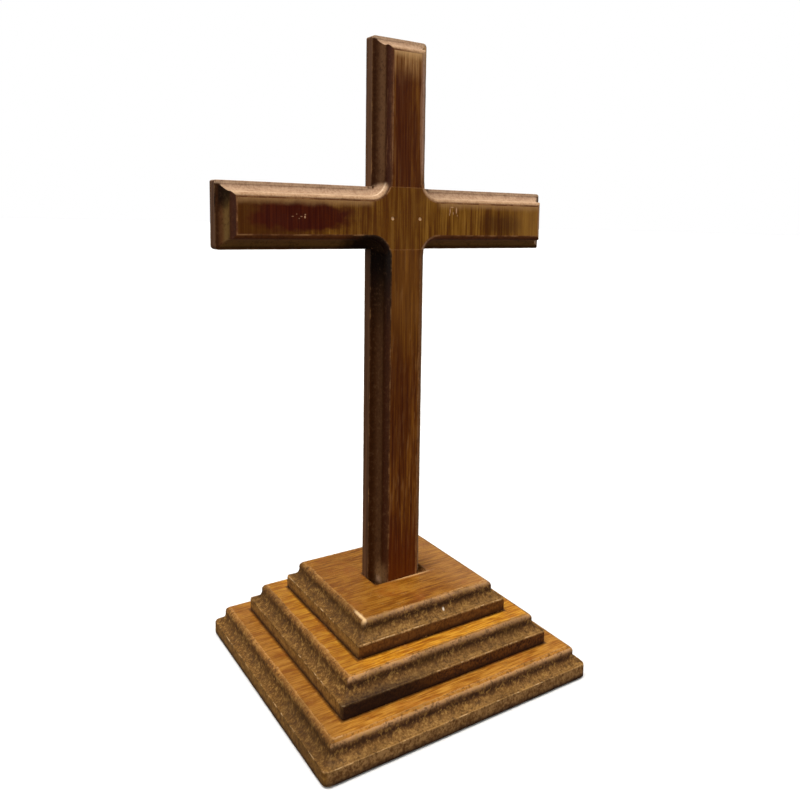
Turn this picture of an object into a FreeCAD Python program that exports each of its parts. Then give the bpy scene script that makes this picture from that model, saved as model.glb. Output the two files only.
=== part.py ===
"""Altar cross: a moulded Latin cross of wood that stands in a base of three square steps.

The frame: origin at the centre of the underside, +Z up, the front of the cross towards -Y.
Every size is in millimetres.

The post and the crossbar are two lengths of the same stick, joined by a half lap with the
crossbar in front, held by two brads. An ogee is run round the whole front edge after the
joint is made, so its inner corners are rounded by the cutter. The foot of the post sits in
a shallow mortise in the top step, and one long screw comes up through the steps into its
end grain. Short screws hold the steps together, and a felt sheet covers the underside.
"""

import FreeCAD
import Part

import os

PARTS_FOLDER = "parts"

# Base: three square boards, each with the ogee round its top edge.
STEP_SIDES = {"bottom_step": 181.0, "middle_step": 143.0, "top_step": 105.0}
STEP_THICKNESS = 19.0
STEP_CORNER_ROUND = {"bottom_step": 4.0, "middle_step": 1.5, "top_step": 1.0}
STEP_FOOT_ROUND = 0.6
FELT_THICKNESS = 1.0
FELT_INSET = 4.0

# Cross: the post and the crossbar are cut from one section of stick.
STICK_WIDTH = 38.0
STICK_THICKNESS = 19.0
STICK_ARRIS = 0.8
POST_RISE = 339.5
POST_SETBACK = -1.5
CROSSBAR_LENGTH = 228.0
CROSSBAR_RISE = 231.0
MORTISE_DEPTH = 4.0
MORTISE_CLEARANCE = 0.2

# Ogee, from the flat face down to the side: a quarter round, a short drop, then a cove
# that meets the side in a sharp arris.
OGEE_ROUND_RADIUS = 3.2
OGEE_DROP = 1.2
OGEE_COVE_RADIUS = 6.0
CUTTER_BEARING_RADIUS = 4.75
CUTTER_MARGIN = 5.0

# Fasteners.
STEP_SCREW_LENGTH = 30.0
STEP_SCREW_SHANK_RADIUS = 2.1
STEP_SCREW_RECESS = 1.5
LOWER_SCREW_SPACING = 96.0
UPPER_SCREW_SPACING = 62.0
POST_SCREW_LENGTH = 76.0
POST_SCREW_SHANK_RADIUS = 2.4
POST_SCREW_RECESS = 6.0
SCREW_HEAD_RATIO = 1.9
SCREW_HEAD_RIM = 0.5
SCREW_ROOT_RATIO = 0.66
SCREW_PLAIN_SHARE = 0.38
SCREW_PITCH = 2.0
SCREW_ROOT_SHARES = (0.35, 0.65)
SCREW_POINT_RATIO = 2.0
SCREW_SLOT_WIDTH = 1.1
SCREW_SLOT_DEPTH = 1.1
CLEARANCE = 0.2
BRAD_LENGTH = 15.0
BRAD_SHANK_RADIUS = 0.75
BRAD_HEAD_RADIUS = 1.1
BRAD_HEAD_HEIGHT = 0.9
BRAD_SUNK = 0.3
BRAD_SPACING = 19.4

# How far a cutting tool runs past the face it opens, and how close two lengths count as equal.
OVERSHOOT = 1.0
TOLERANCE = 1e-6

# Worked out from the sizes above.
OGEE_INSET = OGEE_ROUND_RADIUS + OGEE_COVE_RADIUS
OGEE_DEPTH = OGEE_ROUND_RADIUS + OGEE_DROP + OGEE_COVE_RADIUS
STEP_NAMES = list(STEP_SIDES)
STEP_FLOORS = {
    name: FELT_THICKNESS + level * STEP_THICKNESS for level, name in enumerate(STEP_NAMES)
}
BASE_TOP = FELT_THICKNESS + len(STEP_NAMES) * STEP_THICKNESS
POST_FOOT = BASE_TOP - MORTISE_DEPTH
POST_TOP = BASE_TOP + POST_RISE
CROSSING_HEIGHT = BASE_TOP + CROSSBAR_RISE
FRONT = POST_SETBACK - STICK_THICKNESS / 2
HALF_WIDTH = STICK_WIDTH / 2
HALF_SPAN = CROSSBAR_LENGTH / 2
LAP_DEPTH = STICK_THICKNESS / 2
SIN_45 = 0.5**0.5

Vector = FreeCAD.Vector
UP = Vector(0, 0, 1)
BACKWARD = (0, 1, 0)


def box(low, high):
    """A block between two opposite corners."""
    low, high = Vector(*low), Vector(*high)
    size = high - low
    return Part.makeBox(size.x, size.y, size.z, low)


def edges_where(shape, test):
    """The edges whose every vertex passes a test of its point."""
    return [edge for edge in shape.Edges if all(test(v.Point) for v in edge.Vertexes)]


def near(a, b):
    return abs(a - b) < TOLERANCE


def arc(start, middle, end):
    return Part.Arc(start, middle, end).toShape()


def ogee_waste(place):
    """The section of what the cutter takes away, from the wood out to the cutter's axis.

    place(inset, depth) turns a distance in from the side and a depth below the flat
    face into a point.
    """
    round_reach = OGEE_ROUND_RADIUS * SIN_45
    cove_reach = OGEE_COVE_RADIUS * SIN_45
    drop_end = OGEE_ROUND_RADIUS + OGEE_DROP
    round_start = place(OGEE_INSET, 0)
    round_middle = place(OGEE_INSET - round_reach, OGEE_ROUND_RADIUS - round_reach)
    round_end = place(OGEE_COVE_RADIUS, OGEE_ROUND_RADIUS)
    cove_start = place(OGEE_COVE_RADIUS, drop_end)
    cove_middle = place(cove_reach, drop_end + cove_reach)
    cove_end = place(0, OGEE_DEPTH)
    outside = [
        cove_end,
        place(-CUTTER_BEARING_RADIUS, OGEE_DEPTH),
        place(-CUTTER_BEARING_RADIUS, -CUTTER_MARGIN),
        place(OGEE_INSET, -CUTTER_MARGIN),
        round_start,
    ]
    edges = [
        arc(round_start, round_middle, round_end),
        Part.makeLine(round_end, cove_start),
        arc(cove_start, cove_middle, cove_end),
    ]
    edges += [Part.makeLine(a, b) for a, b in zip(outside, outside[1:])]
    return Part.Face(Part.Wire(edges))


def straight_cut(start, end, inward, depth):
    """The ogee's waste along a straight edge from start to end."""
    start, end, inward, depth = (Vector(*v) for v in (start, end, inward, depth))
    waste = ogee_waste(lambda s, d: start + inward * s + depth * d)
    return waste.extrude(end - start)


def corner_cut(side, rise):
    """The ogee's waste round an inner corner of the cross, where the cutter turns."""
    x = side * (HALF_WIDTH + CUTTER_BEARING_RADIUS)
    z = CROSSING_HEIGHT + rise * (HALF_WIDTH + CUTTER_BEARING_RADIUS)
    waste = ogee_waste(
        lambda s, d: Vector(x - side * (CUTTER_BEARING_RADIUS + s), FRONT + d, z)
    )
    return waste.revolve(Vector(x, FRONT, z), Vector(0, -side * rise, 0), 90)


def wood_screw(length, shank_radius):
    """A slotted countersunk screw, head down at the origin and point up along +Z.

    Its thread is a row of rings, not a helix. Each ring's root takes the middle share of
    the pitch.
    """
    root_foot, root_head = (SCREW_PITCH * share for share in SCREW_ROOT_SHARES)
    head_radius = shank_radius * SCREW_HEAD_RATIO
    root_radius = shank_radius * SCREW_ROOT_RATIO
    neck = SCREW_HEAD_RIM + head_radius - shank_radius
    thread_start = length * SCREW_PLAIN_SHARE
    point_start = length - SCREW_POINT_RATIO * shank_radius
    turns = int((point_start - thread_start) / SCREW_PITCH)
    outline = [
        (0, 0),
        (head_radius, 0),
        (head_radius, SCREW_HEAD_RIM),
        (shank_radius, neck),
        (shank_radius, thread_start),
    ]
    for turn in range(turns):
        foot = thread_start + turn * SCREW_PITCH
        outline.append((root_radius, foot + root_foot))
        outline.append((root_radius, foot + root_head))
        outline.append((shank_radius, foot + SCREW_PITCH))
    outline.append((root_radius, point_start + root_foot))
    outline.append((0, length))
    points = [Vector(r, 0, z) for r, z in outline + outline[:1]]
    blank = Part.Face(Part.makePolygon(points)).revolve(Vector(0, 0, 0), UP, 360)
    slot = box(
        (-head_radius - OVERSHOOT, -SCREW_SLOT_WIDTH / 2, -OVERSHOOT),
        (head_radius + OVERSHOOT, SCREW_SLOT_WIDTH / 2, SCREW_SLOT_DEPTH),
    )
    return blank.cut(slot)


def screw_hole(length, shank_radius, recess, board_top):
    """The hole for a screw whose head stands recess above z 0: a counterbore below the
    head, and a clearance hole up to board_top."""
    head_radius = shank_radius * SCREW_HEAD_RATIO
    counterbore = Part.makeCylinder(
        head_radius + CLEARANCE, recess + OVERSHOOT, Vector(0, 0, -OVERSHOOT)
    )
    clearance = Part.makeCylinder(
        shank_radius + CLEARANCE, board_top - recess, Vector(0, 0, recess)
    )
    slot_room = Part.makeCylinder(head_radius, SCREW_SLOT_DEPTH / 2, Vector(0, 0, recess))
    return counterbore.fuse([clearance, slot_room])


def square_of(spacing):
    """The four corners of a square about the origin."""
    half = spacing / 2
    return [(x, y) for x in (-half, half) for y in (-half, half)]


def step_screws(spacing, floor):
    """Four step screws, their heads set into the underside of the board at floor."""
    screws = []
    for x, y in square_of(spacing):
        screw = wood_screw(STEP_SCREW_LENGTH, STEP_SCREW_SHANK_RADIUS)
        screw.translate(Vector(x, y, floor + STEP_SCREW_RECESS))
        screws.append(screw)
    return screws


def step_screw_holes(spacing, floor):
    holes = []
    for x, y in square_of(spacing):
        hole = screw_hole(
            STEP_SCREW_LENGTH, STEP_SCREW_SHANK_RADIUS, STEP_SCREW_RECESS, STEP_THICKNESS
        )
        hole.translate(Vector(x, y, floor))
        holes.append(hole)
    return holes


def post_screw():
    screw = wood_screw(POST_SCREW_LENGTH, POST_SCREW_SHANK_RADIUS)
    screw.translate(Vector(0, POST_SETBACK, FELT_THICKNESS + POST_SCREW_RECESS))
    return screw


def post_screw_hole():
    hole = screw_hole(
        POST_SCREW_LENGTH,
        POST_SCREW_SHANK_RADIUS,
        POST_SCREW_RECESS,
        BASE_TOP - FELT_THICKNESS,
    )
    hole.translate(Vector(0, POST_SETBACK, FELT_THICKNESS))
    return hole


def brad():
    """A finishing brad driven along +Y, its head on the plane y = 0."""
    along = Vector(0, 1, 0)
    head = Part.makeCylinder(BRAD_HEAD_RADIUS, BRAD_HEAD_HEIGHT, Vector(0, 0, 0), along)
    shank = Part.makeCylinder(BRAD_SHANK_RADIUS, BRAD_LENGTH, Vector(0, 0, 0), along)
    return head.fuse(shank).removeSplitter()


def lap_brads():
    brads = []
    for x in (-BRAD_SPACING / 2, BRAD_SPACING / 2):
        one = brad()
        one.translate(Vector(x, FRONT + BRAD_SUNK, CROSSING_HEIGHT))
        brads.append(one)
    return brads


def brad_holes():
    """The brads and the shallow punch marks in front of their heads."""
    holes = lap_brads()
    for x in (-BRAD_SPACING / 2, BRAD_SPACING / 2):
        mouth = Vector(x, FRONT - OVERSHOOT, CROSSING_HEIGHT)
        holes.append(
            Part.makeCylinder(BRAD_HEAD_RADIUS, OVERSHOOT + BRAD_SUNK, mouth, Vector(0, 1, 0))
        )
    return holes


def cut_in_turn(blank, tools):
    for tool in tools:
        blank = blank.cut(tool)
    return blank


def board(name):
    """A square board with rounded corners and an ogee round its top edge, standing at
    its own level."""
    half = STEP_SIDES[name] / 2
    floor = STEP_FLOORS[name]
    top = floor + STEP_THICKNESS
    blank = box((-half, -half, floor), (half, half, top))
    uprights = [edge for edge in blank.Edges if near(edge.BoundBox.ZLength, STEP_THICKNESS)]
    blank = blank.makeFillet(STEP_CORNER_ROUND[name], uprights)
    blank = blank.makeFillet(STEP_FOOT_ROUND, edges_where(blank, lambda p: near(p.z, floor)))
    reach = half + CUTTER_MARGIN
    side = straight_cut((half, -reach, top), (half, reach, top), (-1, 0, 0), (0, 0, -1))
    for quarter in range(4):
        cutter = side.copy()
        cutter.rotate(Vector(0, 0, 0), UP, 90 * quarter)
        blank = blank.cut(cutter)
    return blank


def stick(low, high, rounded):
    """A squared length of stick with its back arrises eased."""
    blank = box(low, high)
    return blank.makeFillet(STICK_ARRIS, edges_where(blank, rounded))


def quarter_cut(side, rise, post_end):
    """The cutter's run up or down the post, round an inner corner and along an arm."""
    x = side * HALF_WIDTH
    z = CROSSING_HEIGHT + rise * HALF_WIDTH
    corner_x = x + side * CUTTER_BEARING_RADIUS
    corner_z = z + rise * CUTTER_BEARING_RADIUS
    arm_end = side * (HALF_SPAN + CUTTER_MARGIN)
    along_post = straight_cut(
        (x, FRONT, corner_z), (x, FRONT, post_end), (-side, 0, 0), BACKWARD
    )
    along_arm = straight_cut(
        (corner_x, FRONT, z), (arm_end, FRONT, z), (0, 0, -rise), BACKWARD
    )
    return along_post.fuse([corner_cut(side, rise), along_arm]).removeSplitter()


def ogee_cuts():
    """Everything the cutter takes off the front edge of the joined cross."""
    reach = HALF_WIDTH + CUTTER_MARGIN
    low, high = CROSSING_HEIGHT - reach, CROSSING_HEIGHT + reach
    cuts = [
        straight_cut((-reach, FRONT, POST_TOP), (reach, FRONT, POST_TOP), (0, 0, -1), BACKWARD)
    ]
    for side in (-1, 1):
        x = side * HALF_SPAN
        cuts.append(straight_cut((x, FRONT, low), (x, FRONT, high), (-side, 0, 0), BACKWARD))
        cuts.append(quarter_cut(side, 1, POST_TOP + CUTTER_MARGIN))
        cuts.append(quarter_cut(side, -1, POST_FOOT - CUTTER_MARGIN))
    return cuts


def post(cuts):
    """The upright, notched in front for the crossbar."""
    rear = FRONT + STICK_THICKNESS
    blank = stick(
        (-HALF_WIDTH, FRONT, POST_FOOT),
        (HALF_WIDTH, rear, POST_TOP),
        lambda p: near(p.y, rear),
    )
    notch = box(
        (-HALF_WIDTH - OVERSHOOT, FRONT - OVERSHOOT, CROSSING_HEIGHT - HALF_WIDTH),
        (HALF_WIDTH + OVERSHOOT, FRONT + LAP_DEPTH, CROSSING_HEIGHT + HALF_WIDTH),
    )
    return cut_in_turn(blank, [notch, *cuts, post_screw(), *brad_holes()])


def crossbar(cuts):
    """The arms in one length, notched behind for the post."""
    rear = FRONT + STICK_THICKNESS
    blank = stick(
        (-HALF_SPAN, FRONT, CROSSING_HEIGHT - HALF_WIDTH),
        (HALF_SPAN, rear, CROSSING_HEIGHT + HALF_WIDTH),
        lambda p: near(p.y, rear),
    )
    notch = box(
        (-HALF_WIDTH, FRONT + LAP_DEPTH, CROSSING_HEIGHT - HALF_WIDTH - OVERSHOOT),
        (HALF_WIDTH, rear + OVERSHOOT, CROSSING_HEIGHT + HALF_WIDTH + OVERSHOOT),
    )
    return cut_in_turn(blank, [notch, *cuts, *brad_holes()])


def mortise():
    """The pocket for the post's foot."""
    room = HALF_WIDTH + MORTISE_CLEARANCE
    return box(
        (-room, FRONT - MORTISE_CLEARANCE, POST_FOOT),
        (room, FRONT + STICK_THICKNESS + MORTISE_CLEARANCE, BASE_TOP + OVERSHOOT),
    )


def steps():
    """The three boards with their screw holes and the mortise."""
    lower = step_screws(LOWER_SCREW_SPACING, STEP_FLOORS["bottom_step"])
    upper = step_screws(UPPER_SCREW_SPACING, STEP_FLOORS["middle_step"])
    lower_holes = step_screw_holes(LOWER_SCREW_SPACING, STEP_FLOORS["bottom_step"])
    upper_holes = step_screw_holes(UPPER_SCREW_SPACING, STEP_FLOORS["middle_step"])
    centre = [post_screw(), post_screw_hole()]
    return {
        "bottom_step": board("bottom_step").cut([*lower, *lower_holes, *centre]),
        "middle_step": board("middle_step").cut([*lower, *upper, *upper_holes, *centre]),
        "top_step": board("top_step").cut([*upper, *centre, mortise()]),
    }


def base_felt():
    """The sheet glued under the bottom step."""
    half = STEP_SIDES["bottom_step"] / 2 - FELT_INSET
    return box((-half, -half, 0), (half, half, FELT_THICKNESS))


def nodes():
    """Every sub-part by name, each as a list of solids."""
    cuts = ogee_cuts()
    made = {name: [shape] for name, shape in steps().items()}
    made["post"] = [post(cuts)]
    made["crossbar"] = [crossbar(cuts)]
    made["lap_brads"] = lap_brads()
    made["post_screw"] = [post_screw()]
    made["lower_step_screws"] = step_screws(LOWER_SCREW_SPACING, STEP_FLOORS["bottom_step"])
    made["upper_step_screws"] = step_screws(UPPER_SCREW_SPACING, STEP_FLOORS["middle_step"])
    made["base_felt"] = [base_felt()]
    return made


def main():
    os.makedirs(PARTS_FOLDER, exist_ok=True)
    for name, shapes in nodes().items():
        solids = [solid for shape in shapes for solid in shape.Solids]
        if not all(solid.isValid() for solid in solids):
            raise ValueError(f"{name} holds a bad solid")
        whole = solids[0] if len(solids) == 1 else Part.makeCompound(solids)
        whole.exportStep(f"{PARTS_FOLDER}/{name}.step")
        volume = sum(solid.Volume for solid in solids)
        print(f"{name}: {len(solids)} solids, {volume:.0f} cubic mm")


main()
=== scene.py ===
"""Looks of the altar cross: its five pieces of wood as dense, softly worn meshes with
procedural wood on them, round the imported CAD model, on a pale floor in soft light.

Lengths below are in millimetres, and become metres when a mesh is made.
"""

import bmesh
import bpy
import math
import numpy as np
from mathutils import Matrix, Vector, noise


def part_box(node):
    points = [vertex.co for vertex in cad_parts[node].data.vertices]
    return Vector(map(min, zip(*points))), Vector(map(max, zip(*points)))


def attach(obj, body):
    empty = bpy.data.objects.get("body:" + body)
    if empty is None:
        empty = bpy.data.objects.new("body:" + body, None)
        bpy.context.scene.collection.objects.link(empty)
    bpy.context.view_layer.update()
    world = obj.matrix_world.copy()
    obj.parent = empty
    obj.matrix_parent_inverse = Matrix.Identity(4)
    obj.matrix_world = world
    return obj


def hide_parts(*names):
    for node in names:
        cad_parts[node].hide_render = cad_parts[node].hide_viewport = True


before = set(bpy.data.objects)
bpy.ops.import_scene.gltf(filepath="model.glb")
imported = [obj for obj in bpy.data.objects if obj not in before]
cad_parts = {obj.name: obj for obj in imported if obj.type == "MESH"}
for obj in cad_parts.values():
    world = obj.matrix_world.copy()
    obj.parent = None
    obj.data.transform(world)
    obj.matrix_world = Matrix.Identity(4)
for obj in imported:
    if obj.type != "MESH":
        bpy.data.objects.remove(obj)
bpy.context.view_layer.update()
MM = 0.001

# The ogee on every moulded edge: the cutter that the CAD model's edges are cut with.
OGEE_ROUND = 3.2
OGEE_DROP = 1.2
OGEE_COVE = 6.0
OGEE_INSET = OGEE_ROUND + OGEE_COVE
OGEE_DEPTH = OGEE_ROUND + OGEE_DROP + OGEE_COVE
BEARING = 4.75
ARRIS_ROUND = 0.5
BACK_ROUND = 0.8
MORTISE_ROOM = 0.2
BRAD_HEAD = 0.9
BRAD_SHANK_RADIUS = 0.75
HOLE_ROOM = 0.02
SHARP_ANGLE = math.radians(38)


def box_mm(node):
    """A CAD node's lowest and highest corners, in millimetres."""
    low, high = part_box(node)
    return np.array(low) / MM, np.array(high) / MM


POST_LOW, POST_HIGH = box_mm("post")
BAR_LOW, BAR_HIGH = box_mm("crossbar")
BASE_TOP = box_mm("top_step")[1][2]
HALF_WIDTH = POST_HIGH[0]
THICKNESS = POST_HIGH[1] - POST_LOW[1]
LAP = THICKNESS / 2
FRONT = POST_LOW[1]
CROSSING = (BAR_LOW[2] + BAR_HIGH[2]) / 2
HALF_SPAN = BAR_HIGH[0]
CUTTER_AXIS = HALF_WIDTH + BEARING
BRADS_LOW, BRADS_HIGH = box_mm("lap_brads")


# ---- moulding profile


def ogee_profile():
    """The ogee from the flat face to the side: rows of inset, depth and share of the way."""
    points = []
    for angle in np.linspace(0, math.pi / 2, 10):
        inset = OGEE_INSET - OGEE_ROUND * math.sin(angle)
        points.append((inset, OGEE_ROUND * (1 - math.cos(angle))))
    drop_end = OGEE_ROUND + OGEE_DROP
    for share in (0.25, 0.5, 0.75):
        points.append((OGEE_COVE, OGEE_ROUND + OGEE_DROP * share))
    last = math.acos(ARRIS_ROUND / OGEE_COVE)
    for angle in np.linspace(0, last, 13):
        inset = OGEE_COVE * math.cos(angle)
        points.append((inset, drop_end + OGEE_COVE * math.sin(angle)))
    start = np.array(points[-1])
    middle = np.array((0, OGEE_DEPTH))
    end = np.array((0, OGEE_DEPTH + ARRIS_ROUND))
    for t in (0.25, 0.5, 0.75, 1.0):
        point = (1 - t) ** 2 * start + 2 * t * (1 - t) * middle + t * t * end
        points.append(tuple(point))
    points = np.array(points)
    steps = np.hypot(*np.diff(points, axis=0).T)
    share = np.concatenate([[0], np.cumsum(steps)]) / steps.sum()
    return points[:, 0], points[:, 1], share


INSETS, DEPTHS, SHARES = ogee_profile()
LAST = len(INSETS) - 1
SIDE_MARK = 2.0


def smooth(low, high, value):
    """0 below low, 1 above high, and an S-curve between them."""
    t = np.clip((np.asarray(value, float) - low) / (high - low), 0, 1)
    return t * t * (3 - 2 * t)


def rub_of(mark):
    """How much hands and cloths reach a point of the moulding: most at its two edges."""
    mark = np.asarray(mark, float)
    top_edge = np.exp(-((mark / 0.05) ** 2))
    nose = np.exp(-(((mark - 1) / 0.05) ** 2))
    return np.where(mark < 1.001, np.maximum(0.7 * top_edge, nose), 0)


# ---- mesh building


class Shell:
    """Grids of points that are sewn into one closed mesh, each point with its marks."""

    def __init__(self):
        self.points = []
        self.marks = []
        self.rubs = []
        self.faces = []

    def grid(self, points, marks, rubs, closed=False, creases=None):
        """Adds a grid of quads. A quad with two opposite crease points is cut along them."""
        rows, columns = points.shape[:2]
        base = len(self.points)
        self.points.extend(points.reshape(-1, 3))
        self.marks.extend(np.broadcast_to(marks, (rows, columns)).ravel())
        self.rubs.extend(np.broadcast_to(rubs, (rows, columns)).ravel())
        for row in range(rows - 1):
            for column in range(columns if closed else columns - 1):
                beside = (column + 1) % columns
                quad = [(row, column), (row, beside), (row + 1, beside), (row + 1, column)]
                ids = [base + r * columns + c for r, c in quad]
                on_crease = [creases is not None and creases[r, c] for r, c in quad]
                if on_crease == [True, False, True, False]:
                    self.faces += [(ids[0], ids[1], ids[2]), (ids[0], ids[2], ids[3])]
                elif on_crease == [False, True, False, True]:
                    self.faces += [(ids[1], ids[2], ids[3]), (ids[1], ids[3], ids[0])]
                else:
                    self.faces.append(tuple(ids))

    def mesh(self, name):
        """The closed mesh, in metres, with point attributes ogee and rub."""
        data = bpy.data.meshes.new(name)
        data.from_pydata([tuple(p * MM) for p in self.points], [], self.faces)
        for label, values in (("ogee", self.marks), ("rub", self.rubs)):
            attribute = data.attributes.new(label, "FLOAT", "POINT")
            attribute.data.foreach_set("value", np.array(values, np.float32))
        work = bmesh.new()
        work.from_mesh(data)
        bmesh.ops.remove_doubles(work, verts=work.verts, dist=0.004 * MM)
        bmesh.ops.dissolve_degenerate(work, edges=work.edges, dist=0.002 * MM)
        bmesh.ops.recalc_face_normals(work, faces=work.faces)
        work.to_mesh(data)
        work.free()
        return data


def coons(front, back, left, right):
    """A grid that fills four boundary curves; front and back run left to right."""
    columns, rows = len(front), len(left)
    u = np.linspace(0, 1, columns)[None, :, None]
    t = np.linspace(0, 1, rows)[:, None, None]
    across = (1 - t) * front[None] + t * back[None]
    along = (1 - u) * left[:, None] + u * right[:, None]
    corners = (1 - t) * ((1 - u) * front[0] + u * front[-1])
    corners = corners + t * ((1 - u) * back[0] + u * back[-1])
    return across + along - corners


# ---- the cross


def edge_at(distance):
    """How far each line of the ogee lies from a limb's middle, and which lines reach the
    limb's side exactly, at a distance along the limb from the crossing's centre."""
    reach = CUTTER_AXIS - distance
    if reach <= 0:
        return HALF_WIDTH - INSETS, np.zeros(LAST + 1, bool)
    radius = BEARING + INSETS
    under = radius**2 - reach**2
    edge = CUTTER_AXIS - np.sqrt(np.maximum(under, 0))
    edge = np.where(under <= 0, HALF_WIDTH, edge)
    exact = np.abs(edge - HALF_WIDTH) < 1e-6
    return np.minimum(edge, HALF_WIDTH), exact


FACE_COLUMNS = 24
SIDE_COLUMNS = 9


def side_curve():
    """The plain side and the eased back arris, from the ogee to the back."""
    start = OGEE_DEPTH + ARRIS_ROUND
    flat = [(HALF_WIDTH, d) for d in np.linspace(start, THICKNESS - BACK_ROUND, SIDE_COLUMNS)]
    arc = []
    for angle in np.linspace(0, math.pi / 2, 6)[1:]:
        v = HALF_WIDTH - BACK_ROUND * (1 - math.cos(angle))
        arc.append((v, THICKNESS - BACK_ROUND * (1 - math.sin(angle))))
    return np.array(flat[1:] + arc[:-1])


SIDE = side_curve()


def section(edge, depths, marks):
    """A closed loop of (across, depth) and its marks: ogee, face, ogee, side, back, side."""
    face = np.linspace(-edge[0], edge[0], FACE_COLUMNS + 1)[1:-1]
    across = np.concatenate([-edge[::-1], face, edge])
    depth = np.concatenate([depths[::-1], np.full(len(face), depths[0]), depths])
    mark = np.concatenate([marks[::-1], np.full(len(face), marks[0]), marks])
    rub = rub_of(mark)
    rub[LAST + 1 : -LAST - 1] = 0.7 * np.exp(-(((edge[0] - np.abs(face)) / 0.8) ** 2))
    back = np.linspace(1, -1, len(across)) * (HALF_WIDTH - BACK_ROUND)
    loop_across = np.concatenate([across, SIDE[:, 0], back, -SIDE[::-1, 0]])
    loop_depth = np.concatenate(
        [depth, SIDE[:, 1], np.full(len(back), THICKNESS), SIDE[::-1, 1]]
    )
    plain = np.full(len(SIDE) * 2 + len(back), SIDE_MARK)
    corner = np.where(SIDE[:, 1] > THICKNESS - BACK_ROUND, 0.5, 0)
    plain_rub = np.concatenate([corner, np.zeros(len(back)), corner[::-1]])
    plain_rub[len(SIDE)] = plain_rub[len(SIDE) + len(back) - 1] = 0.5
    return (
        np.stack([loop_across, loop_depth], 1),
        np.concatenate([mark, plain]),
        np.concatenate([rub, plain_rub]),
    )


def spread(start, end, step):
    """Evenly spaced values from start up to, but not with, end."""
    count = max(2, round(abs(end - start) / step))
    return list(np.linspace(start, end, count + 1)[:-1])


def limb_distances(is_bar):
    """Distances from the crossing's centre at which a limb gets a row, near the joint."""
    rows = spread(HALF_WIDTH, CUTTER_AXIS, 0.4)
    if not is_bar:
        return rows
    radius = BEARING + INSETS
    meets = CUTTER_AXIS - np.sqrt(np.maximum(radius**2 - BEARING**2, 0))
    return sorted(m for m in meets if m < HALF_WIDTH) + rows


def stick_shell(ends, is_bar, to_world):
    """A moulded stick through the crossing, along u. ends gives, for the low and the high
    end, where it is and whether the ogee runs round it. to_world maps u, across and depth
    to a point."""
    shell = Shell()
    rows = []

    def add(u, edge, depths, marks, exact, squeeze=None):
        loop, mark, rub = section(edge, depths, marks)
        if squeeze:
            loop[:, 1] = squeeze(loop[:, 1])
        pad = len(loop) - 2 * (LAST + 1) - (FACE_COLUMNS - 1)
        crease = np.concatenate(
            [exact[::-1], np.zeros(FACE_COLUMNS - 1, bool), exact, np.zeros(pad, bool)]
        )
        rows.append((u, loop, mark, rub, crease))

    def straight(u, squeeze=None):
        edge, exact = edge_at(abs(u))
        add(u, edge, DEPTHS, SHARES, exact, squeeze)

    def notch(depth):
        return np.minimum(depth, LAP) if is_bar else np.maximum(depth, LAP)

    def limb(sign, end, moulded):
        """Rows from the joint out to the limb's end."""
        near = limb_distances(is_bar)
        if is_bar:
            for distance in [d for d in near if d < HALF_WIDTH]:
                straight(sign * distance, notch)
            straight(sign * HALF_WIDTH, notch)
            near = [d for d in near if d >= HALF_WIDTH]
        for distance in near:
            straight(sign * distance)
        stop = abs(end) - OGEE_INSET if moulded else abs(end)
        for distance in spread(CUTTER_AXIS, stop, 1.6):
            straight(sign * distance)
        if not moulded:
            straight(end)
            return
        for k in range(LAST + 1):
            u = sign * (abs(end) - INSETS[k])
            deeper = np.maximum(np.arange(LAST + 1), k)
            exact = np.arange(LAST + 1) == k
            add(u, HALF_WIDTH - INSETS, DEPTHS[deeper], SHARES[deeper], exact)

    (low, low_moulded), (high, high_moulded) = ends
    limb(-1, low, low_moulded)
    rows.reverse()
    if is_bar:
        inner = CUTTER_AXIS - BEARING - OGEE_INSET
        for u in spread(-inner + 1, inner - 1, 1.2):
            straight(u, notch)
    else:
        edge, exact = edge_at(HALF_WIDTH)
        for u in [-HALF_WIDTH] + spread(-HALF_WIDTH, HALF_WIDTH, 2.4)[1:] + [HALF_WIDTH]:
            add(u, edge, DEPTHS, SHARES, exact, notch)
    limb(1, high, high_moulded)

    points = np.array([[to_world(u, *p) for p in loop] for u, loop, *_ in rows])
    marks = np.array([row[2] for row in rows])
    rubs = np.array([row[3] for row in rows])
    creases = np.array([row[4] for row in rows])
    shell.grid(points, marks, rubs, closed=True, creases=creases)
    for row in (0, -1):
        cap_stick(shell, points[row], rubs[row])
    return shell


def cap_stick(shell, loop, rubs):
    """Closes a stick's end."""
    wide = 2 * (LAST + 1) + FACE_COLUMNS - 1
    side = len(SIDE)
    front = loop[:wide]
    right = loop[wide : wide + side]
    back = loop[wide + side : 2 * wide + side][::-1]
    left = loop[2 * wide + side :][::-1]
    left = np.vstack([front[:1], left, back[:1]])
    right = np.vstack([front[-1:], right, back[-1:]])
    shell.grid(coons(front, back, left, right), SIDE_MARK, 0.0)


def post_shell():
    def to_world(u, across, depth):
        return (across, FRONT + depth, CROSSING + u)

    ends = ((POST_LOW[2] - CROSSING, False), (POST_HIGH[2] - CROSSING, True))
    return stick_shell(ends, False, to_world)


def crossbar_shell():
    def to_world(u, across, depth):
        return (u, FRONT + depth, CROSSING + across)

    return stick_shell(((-HALF_SPAN, True), (HALF_SPAN, True)), True, to_world)


# ---- the base


CORNER_STEPS = 5


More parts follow.
